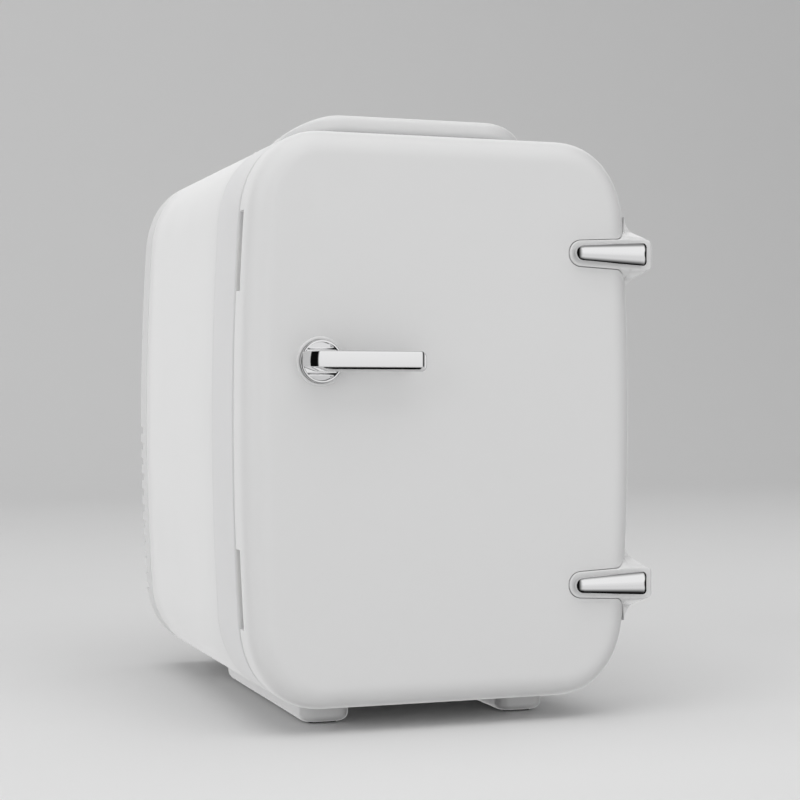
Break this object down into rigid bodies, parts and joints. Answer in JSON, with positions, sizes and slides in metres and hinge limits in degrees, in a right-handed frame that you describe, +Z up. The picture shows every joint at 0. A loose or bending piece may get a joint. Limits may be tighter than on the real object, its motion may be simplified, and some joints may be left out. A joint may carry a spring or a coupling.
{
  "type": "mini fridge",
  "caption": "Rounded bench-top thermoelectric fridge with a hinged front door, a turning latch lever, a folding carry handle, long feet and a vented rear cover.",
  "frame": {"origin": "middle of the bounding box at floor level, under the feet's pads", "axes": "+Z up, -Y out of the door's front, +X towards the door's hinges"},
  "size_m": [0.1828, 0.2396, 0.2624],
  "materials": {
    "front_frame": "satin white",
    "casing": "gloss white",
    "rear_cover": "satin white",
    "insulation": "rigid foam",
    "inner_liner": "smooth white",
    "liner_back_wall": "smooth white",
    "shelf": "smooth white",
    "keeper_plate": "zinc plated",
    "strike_plate": "zinc plated",
    "evaporator_cover": "smooth white",
    "cold_sink": "extruded",
    "cold_block": "milled",
    "thermoelectric_module": "ceramic",
    "hot_sink": "extruded",
    "inner_fan_frame": "moulded black",
    "inner_fan_rotor": "moulded black",
    "rear_fan_frame": "moulded black",
    "rear_fan_rotor": "moulded black",
    "power_board": "solder mask",
    "transformer": "taped winding",
    "filter_capacitor": "sleeved can",
    "ac_inlet": "moulded black",
    "dc_inlet": "moulded black",
    "switch_housing": "moulded black",
    "mode_rocker": "moulded black",
    "foot_left": "gloss white",
    "foot_right": "gloss white",
    "foot_pad_left": "matt black",
    "foot_pad_right": "matt black",
    "hinge_bracket_upper": "satin white",
    "hinge_bracket_lower": "satin white",
    "hinge_pin_upper": "ground",
    "hinge_pin_lower": "ground",
    "handle_pivot_left": "gloss white",
    "handle_pivot_right": "gloss white",
    "rear_cover_screw_1": "zinc plated",
    "rear_cover_screw_2": "zinc plated",
    "rear_cover_screw_3": "zinc plated",
    "rear_cover_screw_4": "zinc plated",
    "door_panel": "gloss white",
    "door_insulation": "rigid foam",
    "door_magnet": "sintered ferrite",
    "door_liner": "smooth white",
    "door_gasket": "soft grey",
    "door_bin": "smooth white",
    "hinge_leaf_upper": "gloss white",
    "hinge_leaf_lower": "gloss white",
    "hinge_trim_upper": "polished",
    "hinge_trim_lower": "polished",
    "handle_rosette": "polished",
    "lever_handle": "polished",
    "lever_spindle": "turned",
    "cam_tongue": "zinc plated",
    "cam_screw": "zinc plated",
    "carry_handle": "gloss white"
  },
  "bodies": {
    "cabinet": {"front_frame": "front_frame", "casing": "casing", "rear_cover": "rear_cover", "insulation": "insulation", "inner_liner": "inner_liner", "liner_back_wall": "liner_back_wall", "shelf": "shelf", "keeper_plate": "keeper_plate", "strike_plate": "strike_plate", "evaporator_cover": "evaporator_cover", "cold_sink": "cold_sink", "cold_block": "cold_block", "thermoelectric_module": "thermoelectric_module", "hot_sink": "hot_sink", "inner_fan_frame": "inner_fan_frame", "rear_fan_frame": "rear_fan_frame", "power_board": "power_board", "transformer": "transformer", "filter_capacitor": "filter_capacitor", "ac_inlet": "ac_inlet", "dc_inlet": "dc_inlet", "switch_housing": "switch_housing", "foot_left": "foot_left", "foot_right": "foot_right", "foot_pad_left": "foot_pad_left", "foot_pad_right": "foot_pad_right", "hinge_bracket_upper": "hinge_bracket_upper", "hinge_bracket_lower": "hinge_bracket_lower", "hinge_pin_upper": "hinge_pin_upper", "hinge_pin_lower": "hinge_pin_lower", "handle_pivot_left": "handle_pivot_left", "handle_pivot_right": "handle_pivot_right", "rear_cover_screw_1": "rear_cover_screw_1", "rear_cover_screw_2": "rear_cover_screw_2", "rear_cover_screw_3": "rear_cover_screw_3", "rear_cover_screw_4": "rear_cover_screw_4"},
    "door": {"door_panel": "door_panel", "door_insulation": "door_insulation", "door_magnet": "door_magnet", "door_liner": "door_liner", "door_gasket": "door_gasket", "door_bin": "door_bin", "hinge_leaf_upper": "hinge_leaf_upper", "hinge_leaf_lower": "hinge_leaf_lower", "hinge_trim_upper": "hinge_trim_upper", "hinge_trim_lower": "hinge_trim_lower", "handle_rosette": "handle_rosette"},
    "latch_lever": {"lever_handle": "lever_handle", "lever_spindle": "lever_spindle", "cam_tongue": "cam_tongue", "cam_screw": "cam_screw"},
    "carry_handle": {"carry_handle": "carry_handle"},
    "rear_fan_rotor": {"rear_fan_rotor": "rear_fan_rotor"},
    "inner_fan_rotor": {"inner_fan_rotor": "inner_fan_rotor"},
    "mode_rocker": {"mode_rocker": "mode_rocker"}
  },
  "joints": [
    {"name": "door_hinge", "type": "hinge", "parent": "cabinet", "child": "door", "pos_m": [0.0871, -0.09225, 0.13], "axis": [0, 0, 1], "range_deg": [0, 120]},
    {"name": "lever_turn", "type": "hinge", "parent": "door", "child": "latch_lever", "pos_m": [-0.0597, -0.10625, 0.1542], "axis": [0, 1, 0], "range_deg": [0, 90]},
    {"name": "carry_handle_fold", "type": "hinge", "parent": "cabinet", "child": "carry_handle", "pos_m": [-0.0039, 0.00175, 0.2504], "axis": [-1, 0, 0], "range_deg": [0, 90]},
    {"name": "rear_fan_spin", "type": "hinge", "parent": "cabinet", "child": "rear_fan_rotor", "pos_m": [-0.0039, 0.09755, 0.085], "axis": [0, 1, 0], "continuous": true},
    {"name": "inner_fan_spin", "type": "hinge", "parent": "cabinet", "child": "inner_fan_rotor", "pos_m": [-0.0039, 0.03495, 0.085], "axis": [0, 1, 0], "continuous": true},
    {"name": "mode_switch", "type": "hinge", "parent": "cabinet", "child": "mode_rocker", "pos_m": [0.0271, 0.11425, 0.19], "axis": [0, 0, 1], "range_deg": [-12, 12]}
  ]
}
